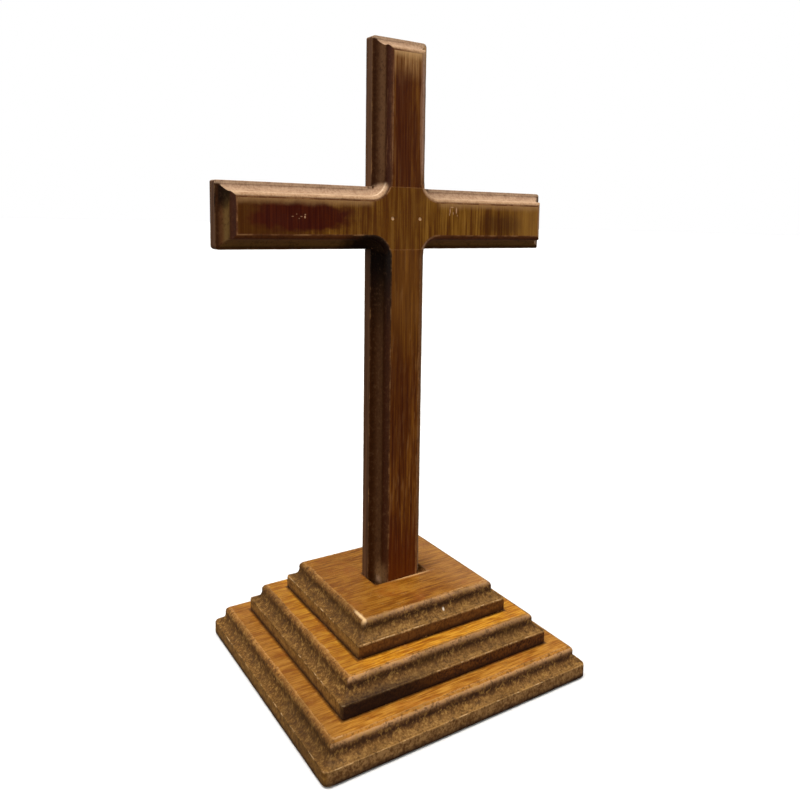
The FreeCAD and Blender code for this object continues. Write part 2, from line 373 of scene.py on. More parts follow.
def square_ring(half_x, half_y, radius, count, centre=(0, 0)):
    """Points round a rectangle with rounded corners, count of them to a side."""
    points = []
    for quarter in range(4):
        turn = quarter * math.pi / 2
        swap = quarter % 2
        ahead, aside = (half_y, half_x) if swap else (half_x, half_y)
        for angle in np.linspace(-math.pi / 2, 0, CORNER_STEPS + 1)[:-1]:
            x = ahead - radius + radius * math.cos(angle)
            y = -aside + radius + radius * math.sin(angle)
            points.append((x, y, turn))
        for y in np.linspace(-aside + radius, aside - radius, count + 1)[:-1]:
            points.append((ahead, y, turn))
    ring = []
    for x, y, turn in points:
        c, s = math.cos(turn), math.sin(turn)
        ring.append((centre[0] + x * c - y * s, centre[1] + x * s + y * c))
    return np.array(ring)


def step_rings(half, floor, top, corner):
    """The rings of a step's outside: half side, corner radius, height, mark and rub."""
    foot = 0.6
    rings = []
    for inset in (0.75, 0.5, 0.25, 0.1, 0.04):
        rings.append((half * (1 - inset), corner, floor, SIDE_MARK, 0.0))
    for angle in np.linspace(0, math.pi / 2, 4):
        inset = foot * (1 - math.sin(angle))
        height = floor + foot * (1 - math.cos(angle))
        rings.append((half - inset, corner, height, SIDE_MARK, 0.4))
    nose = top - OGEE_DEPTH - ARRIS_ROUND
    for height in np.linspace(floor + foot, nose, 8)[1:-1]:
        rings.append((half, corner, height, SIDE_MARK, 0.0))
    for inset, depth, share in zip(INSETS[::-1], DEPTHS[::-1], SHARES[::-1]):
        radius = max(corner * (1 - inset / OGEE_INSET), 1.2)
        rings.append((half - inset, radius, top - depth, share, rub_of(share)))
    return rings


def step_shell(name, corner, covered_half):
    """A step: rings from the middle of its underside, up its side and in over its top to
    where the next step covers it."""
    low, high = box_mm(name)
    half, floor, top = high[0], low[2], high[2]
    count = round(2 * half / 1.2)
    shell = Shell()
    rings, marks, rubs = [], [], []

    def add(ring, height, mark, rub):
        rings.append(np.column_stack([ring, np.full(len(ring), height)]))
        marks.append(np.full(len(ring), mark))
        reach = np.abs(ring)
        from_corner = reach.max() - reach.min(axis=1)
        rubs.append(rub * (1 + 0.8 * np.exp(-((from_corner / 5) ** 2))))

    for ring_half, radius, height, mark, rub in step_rings(half, floor, top, corner):
        add(square_ring(ring_half, ring_half, radius, count), height, mark, rub)
    flat_half = half - OGEE_INSET
    if covered_half:
        for ring_half in np.arange(flat_half - 0.8, covered_half - 4, -1.2):
            add(square_ring(ring_half, ring_half, 1.2, count), top, 0.0, 0.0)
        for share in (0.7, 0.4, 0.15):
            inner = (covered_half - 4) * share
            add(square_ring(inner, inner, 0.6, count), top, 0.0, 0.0)
    else:
        mortise_rings(add, flat_half, top, count)
    shell.grid(
        np.array(rings), np.array(marks), np.array(rubs), closed=True
    )
    close_ring(shell, rings[0])
    close_ring(shell, rings[-1])
    return shell


def mortise_rings(add, flat_half, top, count):
    """The top step's face, drawn in to the mortise, and the mortise's walls and floor."""
    centre = (0, FRONT + THICKNESS / 2)
    half_x = HALF_WIDTH + MORTISE_ROOM
    half_y = THICKNESS / 2 + MORTISE_ROOM
    outer = square_ring(flat_half, flat_half, 1.2, count)
    mouth = square_ring(half_x + 0.3, half_y + 0.3, 0.5, count, centre)
    for share in np.linspace(0, 1, 20)[1:]:
        add(outer + (mouth - outer) * share, top, 0.0, 0.0)
    wall = square_ring(half_x, half_y, 0.3, count, centre)
    floor = POST_LOW[2]
    for height in (top - 0.3, top - 1.2, top - 2.5, floor):
        add(wall, height, SIDE_MARK, 0.0)
    for share in (0.6, 0.2):
        inner = square_ring(half_x * share, half_y * share, 0.1, count, centre)
        add(inner, floor, SIDE_MARK, 0.0)


def close_ring(shell, ring):
    """Fills a ring with triangles about its middle."""
    base = len(shell.points)
    shell.points.extend([*ring, ring.mean(axis=0)])
    shell.marks.extend([SIDE_MARK] * (len(ring) + 1))
    shell.rubs.extend([0.0] * (len(ring) + 1))
    for i in range(len(ring)):
        shell.faces.append((base + i, base + (i + 1) % len(ring), base + len(ring)))


# ---- wear


def point_values(data, name, width=1):
    """A mesh's point positions, normals or attribute values as an array."""
    values = np.zeros(len(data.vertices) * width, np.float32)
    if name == "co":
        data.vertices.foreach_get("co", values)
    elif name == "normal":
        data.vertex_normals.foreach_get("vector", values)
    else:
        data.attributes[name].data.foreach_get("value", values)
    return values.reshape(-1, width) if width > 1 else values


def wear(data, depth, seed, pitch=9.0):
    """Rubs a mesh's arrises in by up to depth, unevenly, and stores where as attribute
    worn."""
    rub = point_values(data, "rub")
    places = point_values(data, "co", 3)
    normals = point_values(data, "normal", 3)
    worn = np.zeros(len(rub), np.float32)
    for i in np.flatnonzero(rub > 0.02):
        place = Vector(places[i]) / (pitch * MM) + Vector((seed, 0, 0))
        broad = noise.noise(place) * 0.5 + 0.5
        fine = noise.noise(place * 5) * 0.5 + 0.5
        worn[i] = rub[i] * min(1, max(0, 1.5 * broad * broad + 0.8 * fine - 0.45))
    places -= normals * worn[:, None] * depth * MM
    data.vertices.foreach_set("co", places.ravel())
    attribute = data.attributes.new("worn", "FLOAT", "POINT")
    attribute.data.foreach_set("value", worn)
    data.update()


def shade(data):
    """Smooth shading, sharp where two faces meet at more than SHARP_ANGLE."""
    work = bmesh.new()
    work.from_mesh(data)
    for face in work.faces:
        face.smooth = True
    for edge in work.edges:
        edge.smooth = len(edge.link_faces) == 2 and edge.calc_face_angle(0) < SHARP_ANGLE
    work.to_mesh(data)
    work.free()


def add_object(name, data):
    """A new object in the scene."""
    new = bpy.data.objects.new(name, data)
    bpy.context.scene.collection.objects.link(new)
    return new


def stand_in(name, data, node):
    """A visual piece, from a mesh, that stands for a CAD node."""
    shade(data)
    piece = add_object(name, data)
    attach(piece, "root")
    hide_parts(node)
    return piece


def round_corner(data, x, z, radius):
    """Wears a corner of a stick's outline round, right through its thickness."""
    places = point_values(data, "co", 3)
    side = np.array((math.copysign(1, x), math.copysign(1, z - CROSSING)))
    centre = np.array((x, z)) * MM - side * radius * MM
    out = (places[:, [0, 2]] - centre) * side
    reach = np.hypot(out[:, 0], out[:, 1])
    beyond = (out.min(axis=1) > 0) & (reach > radius * MM)
    shrunk = out[beyond] * (radius * MM / reach[beyond])[:, None]
    places[np.ix_(beyond, [0, 2])] = centre + shrunk * side
    data.vertices.foreach_set("co", places.ravel())
    data.update()


def drill(data, radius, start, end):
    """Cuts the brads' two round holes into a mesh, from y start to y end."""
    reach = BRADS_HIGH[0] - (BRADS_HIGH[2] - BRADS_LOW[2]) / 2
    height = (BRADS_LOW[2] + BRADS_HIGH[2]) / 2
    work = bmesh.new()
    for x in (-reach, reach):
        place = Vector((x, (start + end) / 2, height)) * MM
        bmesh.ops.create_cone(
            work, cap_ends=True, segments=40, radius1=radius * MM, radius2=radius * MM,
            depth=(end - start) * MM,
            matrix=Matrix.Translation(place) @ Matrix.Rotation(math.pi / 2, 4, "X"),
        )
    cutter = add_object("drill", bpy.data.meshes.new("drill"))
    work.to_mesh(cutter.data)
    work.free()
    blank = add_object("blank", data)
    cut = blank.modifiers.new("holes", "BOOLEAN")
    cut.operation = "DIFFERENCE"
    cut.solver = "EXACT"
    cut.object = cutter
    drilled = bpy.data.meshes.new_from_object(
        blank.evaluated_get(bpy.context.evaluated_depsgraph_get())
    )
    for one in (cutter, blank):
        bpy.data.objects.remove(one)
    drilled.name = data.name
    return drilled


def wooden_piece(node, shell, depth, seed, corners=(), holes=()):
    """Makes the piece of wood that stands for a CAD node. corners are worn round, and holes
    are drilled for the brads."""
    data = shell.mesh(node + "_wood")
    wear(data, depth, seed)
    for corner in corners:
        round_corner(data, *corner)
    for hole in holes:
        data = drill(data, *hole)
    return stand_in(node + "_wood", data, node)


# ---- materials


def tone(colour):
    """A screen colour of 0 to 255 as the linear values that shaders take. A socket, and a
    colour that is linear already and has a fourth part, stay as they are."""
    if isinstance(colour, bpy.types.NodeSocket) or len(colour) == 4:
        return colour
    linear = []
    for part in colour:
        share = part / 255
        low = share <= 0.04045
        linear.append(share / 12.92 if low else ((share + 0.055) / 1.055) ** 2.4)
    return (*linear, 1.0)


class Tree:
    """A material's or world's nodes. Most methods add some and return the output to use. A
    value can be a socket or a constant, and a colour a socket or a screen colour."""

    def __init__(self, owner, shader="Principled BSDF"):
        owner.use_nodes = True
        self.nodes = owner.node_tree.nodes
        self.links = owner.node_tree.links
        self.shader = self.nodes[shader]
        self.coordinates = self.add("TexCoord", {})

    def put(self, socket, value):
        if isinstance(value, bpy.types.NodeSocket):
            self.links.new(value, socket)
        else:
            socket.default_value = value

    def give(self, label, value):
        """Links or sets one of the shader's inputs."""
        self.put(self.shader.inputs[label], value)

    def add(self, kind, inputs, **settings):
        """Adds any node and returns its outputs. An input of None is left alone."""
        node = self.nodes.new("ShaderNode" + kind)
        for label, value in settings.items():
            setattr(node, label, value)
        for key, value in inputs.items():
            if value is not None:
                self.put(node.inputs[key], value)
        return node.outputs

    def vector(self, operation, a, b=None, scale=None):
        outputs = self.add("VectorMath", {0: a, 1: b, "Scale": scale}, operation=operation)
        return outputs["Value" if operation == "LENGTH" else "Vector"]

    def math(self, operation, a, b=0.0):
        return self.add("Math", {0: a, 1: b}, operation=operation)[0]

    def times(self, a, b):
        return self.math("MULTIPLY", a, b)

    def plus(self, a, b):
        return self.math("ADD", a, b)

    def minus(self, a, b):
        return self.math("SUBTRACT", a, b)

    def size(self, value):
        return self.math("ABSOLUTE", value)

    def fit(self, value, low, high, to_low=0.0, to_high=1.0):
        """Maps low..high to to_low..to_high with soft ends."""
        inputs = {"Value": value, "From Min": low, "From Max": high}
        inputs |= {"To Min": to_low, "To Max": to_high}
        return self.add("MapRange", inputs, interpolation_type="SMOOTHSTEP")["Result"]

    def noise(self, per_mm, detail=3.0, rough=0.55, shift=0.0, warp=0.0):
        """Noise with so many cells to a millimetre, all ways or along X, Y and Z."""
        cells = (per_mm,) * 3 if isinstance(per_mm, float) else per_mm
        place = self.vector("MULTIPLY", self.place, cells)
        if shift:
            place = self.vector("ADD", place, (shift, shift * 0.7, -shift))
        inputs = {"Vector": place, "Scale": 1.0, "Detail": detail}
        inputs |= {"Roughness": rough, "Distortion": warp}
        return self.add("TexNoise", inputs)["Fac"]

    def sum_of(self, *shares):
        """Adds noises, each times its share."""
        total = 0.0
        for share, value in shares:
            total = self.plus(total, self.times(value, share))
        return total

    def ramp(self, value, stops):
        """Colours at places along 0 to 1: rows of the place and the colour's parts."""
        node = self.nodes.new("ShaderNodeValToRGB")
        elements = node.color_ramp.elements
        while len(elements) < len(stops):
            elements.new(0.5)
        for element, (place, *colour) in zip(elements, stops):
            element.position = place
            element.color = tone(colour)
        self.put(node.inputs["Fac"], value)
        return node.outputs["Color"]

    def mix(self, share, a, b):
        """A share of colour b over colour a."""
        return self.add("Mix", {0: share, 6: tone(a), 7: tone(b)}, data_type="RGBA")[2]

    def tint(self, base, where, share, colour):
        """Mixes a share of a colour into base, where another value is 1."""
        return self.mix(self.times(where, share), base, colour)

    def attribute(self, name):
        return self.add("Attribute", {}, attribute_name=name)["Fac"]

    def axis(self, index, source=None):
        """One coordinate of the place, or of another vector."""
        return self.add("SeparateXYZ", {0: source or self.place})[index]

    def facing(self, index, *limits):
        """How much the surface faces along X, Y or Z, fitted to limits."""
        return self.fit(self.axis(index, self.coordinates["Normal"]), *limits)

    def above_crossing(self):
        return self.minus(self.axis(2), CROSSING)

    def spot(self, centre, radii, soft, wobble):
        """1 inside an ellipsoid and 0 outside it; wobble is a noise that breaks its edge."""
        away = self.vector("SUBTRACT", self.place, centre)
        far = self.vector("LENGTH", self.vector("DIVIDE", away, radii))
        far = self.plus(far, self.minus(wobble, 0.5))
        return self.fit(far, 1 - soft, 1 + soft, 1.0, 0.0)

    def patch(self, base, wobble, patches):
        """Mixes spots into base: rows of centre, radii, softness, strength and colour."""
        for centre, radii, soft, share, colour in patches:
            base = self.tint(base, self.spot(centre, radii, soft, wobble), share, colour)
        return base

    def bump(self, height, depth, under=None):
        """Height from 0 to 1, depth in millimetres."""
        inputs = {"Height": height, "Distance": depth * MM, "Strength": 1.0, "Normal": under}
        return self.add("Bump", inputs)["Normal"]


def stretched(axis, along, across):
    """Noise cells to a millimetre, drawn out along one axis."""
    cells = [across] * 3
    cells["XYZ".index(axis)] = along
    return tuple(cells)


class Paint(Tree):
    """The nodes of a new material, a little shiny, with the place in millimetres."""

    def __init__(self, name):
        self.material = bpy.data.materials.new(name)
        super().__init__(self.material)
        self.place = self.vector("SCALE", self.coordinates["Object"], scale=1 / MM)
        self.give("Specular IOR Level", 0.15)


class Wood(Paint):
    """A varnished piece's nodes, with what all its parts use: the place across the moulding,
    the wear, and the wood's streaks, pores and fuzz, which a cutter leaves in a moulding.
    streak and pores are cells to a millimetre, and first is where a pore begins."""

    def __init__(self, name, seed, streak, pores, first):
        super().__init__(name)
        self.seed = seed
        self.mark = self.attribute("ogee")
        self.worn = self.attribute("worn")
        self.streak = self.noise(streak, 4, 0.6, seed + 5)
        self.pores = self.fit(self.noise(pores, 2, 0.5, seed + 2), first, 0.74)
        coarse = self.noise((0.22, 0.22, 0.3), 3, 0.6, seed + 7)
        fine = self.noise((0.8, 0.8, 0.6), 3, 0.6, seed + 8)
        self.fuzz = self.sum_of((0.42, coarse), (0.58, fine))

    def varnish(self, rough, on_moulding, added, fuzz_depth):
        """Smeary gloss, added roughness on the moulding, and the relief of the grain."""
        smear = self.noise(0.05, 3, 0.5, self.seed + 1)
        flat_rough = self.fit(smear, 0.3, 0.7, *rough)
        self.give("Roughness", self.plus(flat_rough, self.times(on_moulding, added)))
        normal = self.bump(self.streak, 0.05)
        normal = self.bump(self.pores, -0.04, normal)
        normal = self.bump(self.times(self.fuzz, on_moulding), fuzz_depth, normal)
        self.give("Normal", normal)


def board_flat(wood, foot, flat, west, east):
    """A step's top: amber, blushed red here and there, and painted shade round what stands on
    it.
    """
    figure = wood.noise(stretched("X", 0.012, 0.07), 3, 0.5, wood.seed, 0.8)
    mottle = wood.noise((0.08, 0.30, 0.2), 5, 0.65, wood.seed + 9)
    grain = wood.sum_of((0.15, figure), (0.5, wood.streak), (0.35, mottle))
    tones = [(0, *flat[0]), (0.5, *flat[1]), (1, *flat[2])]
    colour = wood.ramp(wood.fit(grain, 0.41, 0.59), tones)
    colour = wood.tint(colour, wood.pores, 0.4, flat[0])
    # Painted shade: a dark band on the top along the foot of what stands on it.
    off_x = wood.minus(wood.size(wood.axis(0)), foot[0])
    off_y = wood.minus(wood.size(wood.minus(wood.axis(1), foot[2])), foot[1])
    riser_shade = wood.fit(wood.math("MAXIMUM", off_x, off_y), 0.2, 1.8, 0.85, 0.0)
    colour = wood.mix(riser_shade, colour, (58, 28, 6))
    blush = wood.fit(wood.noise(0.06, 3, 0.6, wood.seed + 4), 0.5, 0.68, 0, 0.35)
    colour = wood.mix(blush, colour, (136, 70, 22))
    left = wood.fit(wood.axis(0), -foot[0] + 6, -foot[0] - 6, 0.0, west)
    colour = wood.mix(left, colour, (104, 62, 20))
    right = wood.fit(wood.axis(0), foot[0] - 6, foot[0] + 16, 0.0, east)
    return wood.mix(right, colour, (206, 156, 104))


def board_moulding(wood, mark, amber, lag, grime):
    """A step's moulding: brown and fuzzy, with a painted highlight and a painted dark line of
    shade where it faces the front.
    """
    brown = wood.ramp(mark, [
        (0, *amber), (0.035, 170, 120, 62), (0.08, 134, 88, 36), (0.15, 112, 71, 25),
        (0.26, 98, 62, 20), (0.36, 82, 51, 14), (0.46, 80, 49, 12), (0.6, 84, 54, 14),
        (0.8, 94, 61, 20), (0.95, 108, 73, 28), (1, 100, 67, 25),
    ])
    lower = wood.minus(wood.times(mark, 1 + lag), lag)
    # Painted light for front-facing moulding: a pale highlight band on the round, then a dark
    # band of painted shade.
    painted_light = wood.ramp(lower, [
        (0, *amber), (0.03, 176, 130, 82), (0.08, 170, 126, 82), (0.15, 146, 108, 72),
        (0.24, 106, 72, 42), (0.32, 80, 50, 25), (0.39, 56, 31, 12), (0.46, 72, 44, 17),
        (0.6, 104, 70, 30), (0.8, 114, 80, 36), (0.93, 150, 114, 68), (1, 136, 98, 54),
    ])
    colour = wood.mix(wood.facing(1, -0.15, -0.45), brown, painted_light)
    colour = wood.mix(wood.fit(wood.fuzz, 0.50, 0.62, 0, 0.55), colour, (160, 120, 62))
    colour = wood.mix(wood.fit(wood.fuzz, 0.50, 0.39, 0, 0.6), colour, (38, 20, 4))
    cloud = wood.noise(0.035, 3, 0.6, wood.seed + 13)
    colour = wood.mix(wood.fit(cloud, 0.45, 0.62, 0, 0.35), colour, (72, 46, 10))
    return wood.mix(grime, colour, (52, 32, 12))


def board_side(wood, side, level):
    """A step's plain side: olive painted light where it faces left, and painted shade, dark,
    along its foot.
    """
    colour = wood.mix(wood.fit(wood.fuzz, 0.38, 0.62), side[0], side[1])
    # Painted light: sides that face left get a lighter olive, as if lit from the left.
    lit_from_left_olive = wood.mix(wood.fit(wood.fuzz, 0.36, 0.64), (84, 52, 14), (138, 98, 44))
    colour = wood.mix(wood.facing(0, -0.3, -0.8), colour, lit_from_left_olive)
    # Painted shade: dark along the foot of the side.
    low = wood.fit(wood.minus(wood.axis(2), level), 0.4, 4.5, 0.9, 0.0)
    return wood.mix(low, colour, (34, 14, 4))


def base_material(name, seed, level, foot, flat, side, west, east, grime, lag, patches):
    """Amber varnished board. level is the height it stands at, and foot the half width,
    half depth and middle of what stands on it. flat holds the dark, middle and light tones
    of its top, and side those of its plain sides. west and east are how much its top is
    darker at the left and paler at the right. grime is how much its moulding is dimmed, and
    lag how far down the front moulding its dark line of painted shade lies."""
    wood = Wood(name, seed, stretched("X", 0.06, 0.9), stretched("X", 0.3, 2.6), 0.62)
    ragged = wood.noise(0.25, 4, 0.7, seed + 3)
    shift = wood.times(wood.minus(ragged, 0.5), 0.12)
    shaken = wood.plus(wood.mark, shift)
    on_moulding = wood.fit(shaken, 0.00, 0.04)
    on_side = wood.fit(wood.plus(wood.mark, wood.times(shift, 4.0)), 1.15, 1.75)
    colour = wood.mix(
        on_moulding, board_flat(wood, foot, flat, west, east),
        board_moulding(wood, shaken, flat[1], lag, grime),
    )
    colour = wood.mix(on_side, colour, board_side(wood, side, level))
    chips = wood.times(wood.worn, wood.fit(wood.fuzz, 0.40, 0.6, 0.1, 1.0))
    colour = wood.mix(wood.fit(chips, 0.12, 0.6, 0, 0.7), colour, (180, 138, 88))
    # Painted highlight: a broken pale line along the nose.
    off_nose = wood.size(wood.minus(wood.mark, 0.99))
    nose_highlight = wood.fit(wood.noise((0.11, 0.11, 0.3), 4, 0.7, seed + 19), 0.53, 0.60)
    nose_highlight = wood.times(nose_highlight, wood.fit(off_nose, 0.01, 0.05, 0.6, 0.0))
    colour = wood.mix(nose_highlight, colour, (212, 174, 124))
    wood.give("Base Color", wood.patch(colour, ragged, patches))
    wood.varnish((0.34, 0.50), on_moulding, 0.25, 0.35)
    return wood.material


def stick_moulding(wood, colour, mottle, edge_line):
    """Colours a stick's moulding: painted highlight, pale, where it faces up, brown lifted by
    painted light from below where it faces down, painted shade near black in one inner
    corner, fuzzy, and with a broken pale line along the face, painted highlight with wear."""
    # Painted highlight: moulding that faces up, and the crest along the top edges, is painted
    # pale as if lit from overhead.
    overhead_highlight_ramp = wood.ramp(wood.mark, [
        (0, 164, 120, 74), (0.08, 162, 122, 82), (0.22, 172, 136, 102),
        (0.32, 236, 208, 176), (0.42, 170, 138, 108), (0.75, 160, 128, 102),
        (0.92, 164, 134, 108), (1, 132, 104, 80),
    ])
    rim = wood.times(wood.fit(wood.mark, 0.66, 0.80), crest_of(wood))
    overhead_highlight = wood.math("MAXIMUM", wood.facing(2, 0.12, 0.55), rim)
    colour = wood.mix(overhead_highlight, colour, overhead_highlight_ramp)
    # Painted light: faces that look down get a lighter copy of the moulding's colours, with a
    # pale painted highlight line across the round.
    under = wood.ramp(wood.mark, [
        (0, 124, 76, 34), (0.05, 116, 66, 26), (0.1, 104, 54, 18), (0.28, 106, 58, 26),
        (0.36, 188, 137, 98), (0.46, 166, 120, 82), (0.58, 142, 102, 60),
        (0.8, 122, 86, 42), (1, 104, 72, 34),
    ])
    colour = wood.mix(wood.facing(2, -0.1, -0.5), colour, under)
    # Painted shade: near black in the inner corner under the left arm.
    corner = (-HALF_WIDTH - 3, FRONT + 6, CROSSING - HALF_WIDTH - 1)
    colour = wood.patch(colour, mottle, [(corner, (17, 24, 16), 0.5, 0.92, (14, 6, 3))])
    # More painted highlight: a pale fuzzy tint on the faces that look up.
    painted_light = wood.mix(wood.fit(wood.fuzz, 0.38, 0.62), (136, 102, 76), (206, 174, 142))
    colour = wood.tint(colour, overhead_highlight, 0.35, painted_light)
    clean = wood.minus(1.0, wood.times(overhead_highlight, 0.85))
    colour = wood.tint(colour, wood.fit(wood.fuzz, 0.5, 0.68, 0, 0.14), clean, (128, 94, 66))
    colour = wood.tint(colour, wood.fit(wood.fuzz, 0.5, 0.36, 0, 0.4), clean, (36, 16, 6))
    # A broken pale line along the face's edge: painted highlight, with wear.
    edge_wear_and_sheen = wood.fit(wood.noise(0.09, 4, 0.7, wood.seed + 15), 0.44, 0.60, 0.1, 1)
    line = wood.times(wood.fit(wood.mark, 0.035, 0.075, 1, 0), edge_wear_and_sheen)
    return wood.tint(colour, line, edge_line, (170, 122, 76))


def cross_material(name, seed, spots, edge_line):
    """Dark varnished stick. spots adds this piece's own patches to the face's colour, and
    to its moulding's. edge_line is how strong the pale line round its face is."""
    wood = Wood(name, seed, stretched("Z", 0.015, 0.5), stretched("Z", 0.35, 2.6), 0.60)
    figure = wood.noise(stretched("Z", 0.018, 0.11), 3, 0.55, seed, 0.6)
    thin = wood.noise(stretched("Z", 0.02, 1.05), 3, 0.6, seed + 8)
    mottle = wood.noise((0.16, 0.16, 0.035), 4, 0.65, seed + 11)
    grain = wood.sum_of((0.22, figure), (0.28, wood.streak), (0.38, thin), (0.12, mottle))
    face = wood.ramp(wood.fit(grain, 0.39, 0.61), [
        (0, 60, 20, 2), (0.4, 88, 42, 6), (0.75, 114, 64, 13), (1, 144, 92, 30),
    ])
    hairs = wood.noise(stretched("Z", 0.045, 0.9), 2, 0.5, seed + 17, 0.5)
    face = wood.mix(wood.fit(hairs, 0.56, 0.68, 0, 0.5), face, (150, 104, 60))
    # The dark bands at the drop and near the cove's outer end are painted shade.
    moulding = wood.ramp(wood.mark, [
        (0, 98, 50, 18), (0.06, 86, 44, 17), (0.15, 64, 28, 8), (0.26, 52, 18, 4),
        (0.36, 56, 27, 9), (0.45, 94, 64, 40), (0.62, 95, 65, 42), (0.76, 72, 43, 22),
        (0.86, 56, 28, 10), (0.96, 66, 36, 15), (1, 98, 70, 44),
    ])
    face, moulding = spots(wood, face, moulding, grain)
    face = wood.tint(face, wood.pores, 0.45, (44, 16, 3))
    side = wood.mix(wood.fit(wood.streak, 0.35, 0.65), (64, 40, 25), (94, 64, 42))
    # Painted highlight: plain sides that face up are painted pale.
    side = wood.mix(wood.facing(2, 0.3, 0.8, 0, 0.7), side, (160, 130, 102))
    on_moulding = wood.fit(wood.mark, 0.0, 0.012)
    colour = wood.mix(on_moulding, face, stick_moulding(wood, moulding, mottle, edge_line))
    colour = wood.mix(wood.fit(wood.mark, 1.1, 1.6), colour, side)
    chips = wood.times(wood.worn, wood.fit(wood.fuzz, 0.34, 0.58, 0.35, 1.0))
    colour = wood.mix(wood.fit(chips, 0.15, 0.8, 0, 0.35), colour, (176, 128, 80))
    wood.give("Base Color", colour)
    wood.give("Specular IOR Level", wood.fit(wood.mark, 0.05, 0.35, 0.15, 0.04))
    wood.varnish((0.30, 0.44), on_moulding, 0.15, 0.12)
    return wood.material


def crest_of(wood):
    """1 along the top edges of the arms and of the post, where the painted highlight spreads.
    """
    height = wood.above_crossing()
    below = wood.fit(height, HALF_WIDTH + 0.1, HALF_WIDTH + 0.4, 1.0, 0.0)
    arm = wood.times(wood.fit(height, HALF_WIDTH - 2.4, HALF_WIDTH - 1.4), below)
    clear = wood.fit(wood.size(wood.axis(0)), HALF_WIDTH + 1, HALF_WIDTH + 4)
    top = wood.fit(wood.axis(2), POST_HIGH[2] - 2.4, POST_HIGH[2] - 1.4)
    return wood.math("MAXIMUM", wood.times(arm, clear), top)


def joint_lines(wood, colour):
    """Thin pale lines on the face where the lap's shoulders close."""
    off = wood.size(wood.minus(wood.size(wood.above_crossing()), HALF_WIDTH))
    broken = wood.fit(wood.noise(0.4, 2, 0.5, 4.0), 0.35, 0.6, 0.15, 0.6)
    return wood.tint(colour, wood.fit(off, 0.15, 0.5, 1, 0), broken, (150, 98, 52))


def post_spots(wood, face, moulding, grain):
    """Redder near the foot and in the upper limb, gold in between, and pale where hands
    reach: the top, and the upper limb's right face edge, which is also painted reflection.
    On the moulding: painted shade near black under the left arm, a spot of painted light
    reflected from the base at the foot, and painted light on the rounding where it faces
    left on the upper limb and where it faces right, and on the nose where it faces right."""
    edge = wood.noise((0.08, 0.08, 0.03), 4, 0.65, 2.0)
    face = wood.patch(face, edge, [
        ((0, FRONT, BASE_TOP + 2), (60, 60, 34), 0.6, 0.75, (80, 28, 3)),
        ((-2, FRONT, POST_HIGH[2] - 52), (9, 40, 46), 0.7, 0.7, (74, 26, 4)),
        ((0, FRONT, CROSSING - 48), (14, 40, 36), 0.6, 0.5, (122, 76, 24)),
        ((-5, FRONT, CROSSING - 116), (9, 40, 44), 0.7, 0.6, (66, 22, 3)),
    ])
    pale = wood.mix(wood.fit(grain, 0.42, 0.60), (128, 78, 30), (204, 154, 98))
    handled = ((4, FRONT, POST_HIGH[2] - 2), (26, 40, 17), 0.6, 0.85, pale)
    face = wood.patch(face, edge, [handled])
    ragged = wood.plus(wood.axis(2), wood.times(edge, 5.0))
    crest = wood.fit(ragged, POST_HIGH[2] - 12, POST_HIGH[2] - 6)
    face = wood.tint(face, crest, 0.8, (214, 168, 112))
    # Pale along the upper limb's right face edge: wear, and painted reflection of light from
    # the right.
    edge_wear_and_sheen = wood.plus(wood.axis(0), wood.times(edge, 3.0))
    upper = wood.fit(wood.axis(2), CROSSING + 22, CROSSING + 34)
    edge_wear_and_sheen = wood.times(wood.fit(edge_wear_and_sheen, 10.2, 11.2), upper)
    face = wood.tint(face, edge_wear_and_sheen, 0.8, (156, 112, 82))
    lower = wood.fit(wood.axis(2), CROSSING - 26, CROSSING - 10, 0.62, 0.0)
    moulding = wood.mix(lower, moulding, (48, 21, 2))
    # Painted shade, near black, under the left arm; then a pale spot of painted light
    # reflected from the base at the foot, and a small pale spot.
    moulding = wood.patch(moulding, edge, [
        ((-HALF_WIDTH, FRONT + 5, CROSSING - 20), (40, 30, 36), 0.9, 0.9, (16, 7, 2)),
        ((-12.5, FRONT + 6, BASE_TOP + 4), (2.0, 9, 7), 0.7, 0.32, (152, 116, 76)),
        ((-HALF_WIDTH + 4.5, FRONT + 5, BASE_TOP), (1.2, 2.5, 3), 0.6, 0.5, (204, 162, 130)),
    ])
    # Painted light on the rounding: streaks where it faces left on the upper limb, and a
    # lighter tone where it faces right.
    rounding = wood.fit(wood.mark, 0.30, 0.36, 1.0, 0.0)
    east = wood.facing(0, 0.0, 0.2)
    west = wood.times(wood.facing(0, 0.1, -0.1), rounding)
    smears = wood.fit(wood.noise(stretched("Z", 0.03, 0.3), 3, 0.6, 8.0), 0.48, 0.62)
    west = wood.times(wood.times(west, smears), upper)
    moulding = wood.tint(moulding, west, 0.3, (150, 104, 70))
    light = wood.mix(upper, (132, 84, 42), (184, 142, 116))
    moulding = wood.tint(moulding, wood.times(east, rounding), 0.85, light)
    # Painted light on the nose where it faces right.
    nose = wood.times(east, wood.fit(wood.mark, 0.8, 0.9))
    moulding = wood.tint(moulding, nose, 0.8, (158, 124, 92))
    corner = ((HALF_WIDTH, FRONT, POST_HIGH[2]), (18, 40, 16), 0.5, 0.8, (196, 156, 112))
    return joint_lines(wood, face), wood.patch(moulding, edge, [corner])


# Pale nicks on the arms: x, height above the crossing, half width, half height, strength.
NICKS = (
    (-66.3, 1.2, 0.4, 0.4, 0.7), (-66.5, -0.2, 0.5, 0.7, 0.8), (-68.6, 0.1, 0.6, 0.25, 0.6),
    (-71.5, 1.4, 0.4, 0.3, 0.35), (-73.8, 0.1, 0.7, 0.25, 0.45), (-70, -1, 0.4, 0.3, 0.35),
    (32, 5.6, 0.35, 1.6, 0.85), (36.8, 5.8, 0.5, 1.9, 0.9), (31.6, 3.2, 0.3, 0.8, 0.6),
    (34.4, 4, 0.3, 0.9, 0.6), (33.4, 7.8, 1.2, 0.3, 0.6), (37.6, 2.6, 0.3, 0.6, 0.5),
)


